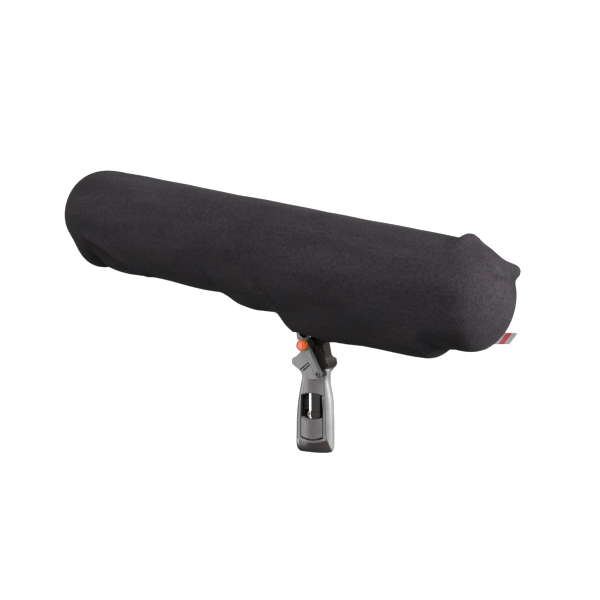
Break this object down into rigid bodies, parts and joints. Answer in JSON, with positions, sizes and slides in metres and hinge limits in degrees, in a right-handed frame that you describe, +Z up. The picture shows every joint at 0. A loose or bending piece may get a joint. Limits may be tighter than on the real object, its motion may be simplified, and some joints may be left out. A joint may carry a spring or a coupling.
{
  "type": "furry windscreen",
  "caption": "Long fleece-covered blimp windscreen with a sprung microphone suspension, on a tilting pistol grip with a lock knob and a boom pole thread.",
  "frame": {"origin": "centre of the boom thread's mouth, in the base of the grip", "axes": "+Z up the thread's axis and the grip, -X towards the windscreen's nose, -Y the side with the lock knob"},
  "size_m": [0.5544, 0.108, 0.2894],
  "materials": {
    "fleece": "matte",
    "label_tape": "satin",
    "elastic": "matte",
    "fine_net": "matte",
    "black_nylon": "matte",
    "black_gloss_nylon": "glossy",
    "panel_grey": "matte",
    "light_rubber": "matte",
    "dark_rubber": "matte",
    "brown_rubber": "satin",
    "arm_grey": "matte",
    "orange": "matte",
    "black_barrel": "polished",
    "black_steel": "satin",
    "steel": "satin",
    "brass_insert": "satin",
    "washer_nylon": "matte"
  },
  "bodies": {
    "grip": {"left_grip_shell": "panel_grey", "right_grip_shell": "panel_grey", "grip_chassis": "black_nylon", "left_badge_panel": "panel_grey", "right_badge_panel": "panel_grey", "rear_grip_pad": "light_rubber", "front_grip_pad": "panel_grey", "base_cap": "brown_rubber", "core_tube": "black_barrel", "core_collar": "black_barrel", "collar_screws": "black_steel", "thread_insert": "brass_insert", "shell_screws": "black_steel", "clamp_arm": "arm_grey", "lock_washer": "black_nylon", "arm_screw": "black_steel", "arm_spacer": "black_nylon", "pivot_bolt": "steel", "left_friction_washer": "washer_nylon", "right_friction_washer": "washer_nylon"},
    "windshield": {"pivot_foot": "black_gloss_nylon", "pivot_bush": "brass_insert", "foot_screws": "steel", "suspension_rail": "black_nylon", "front_lyre_shoe": "black_nylon", "rear_lyre_shoe": "black_nylon", "front_lyre": "black_nylon", "rear_lyre": "black_nylon", "front_mic_clip": "dark_rubber", "rear_mic_clip": "dark_rubber", "lyre_screws": "steel", "basket_tube": "black_nylon", "basket_net": "fine_net", "front_ring": "black_nylon", "rear_ring": "black_nylon", "front_cap": "black_nylon", "rear_cap": "black_nylon", "front_cap_net": "fine_net", "rear_cap_net": "fine_net", "fleece_cover": "fleece", "hem_elastic": "elastic", "cover_label": "label_tape"},
    "lock_knob": {"lock_knob": "orange", "knob_nut": "brass_insert"}
  },
  "joints": [
    {"name": "tilt", "type": "hinge", "parent": "grip", "child": "windshield", "pos_m": [-0.005, 0, 0.1115], "axis": [0, -1, 0], "range_deg": [0, 45]},
    {"name": "lock_knob_turn", "type": "hinge", "parent": "grip", "child": "lock_knob", "pos_m": [-0.005, 0, 0.1115], "axis": [0, -1, 0], "range_deg": [0, 360]}
  ]
}
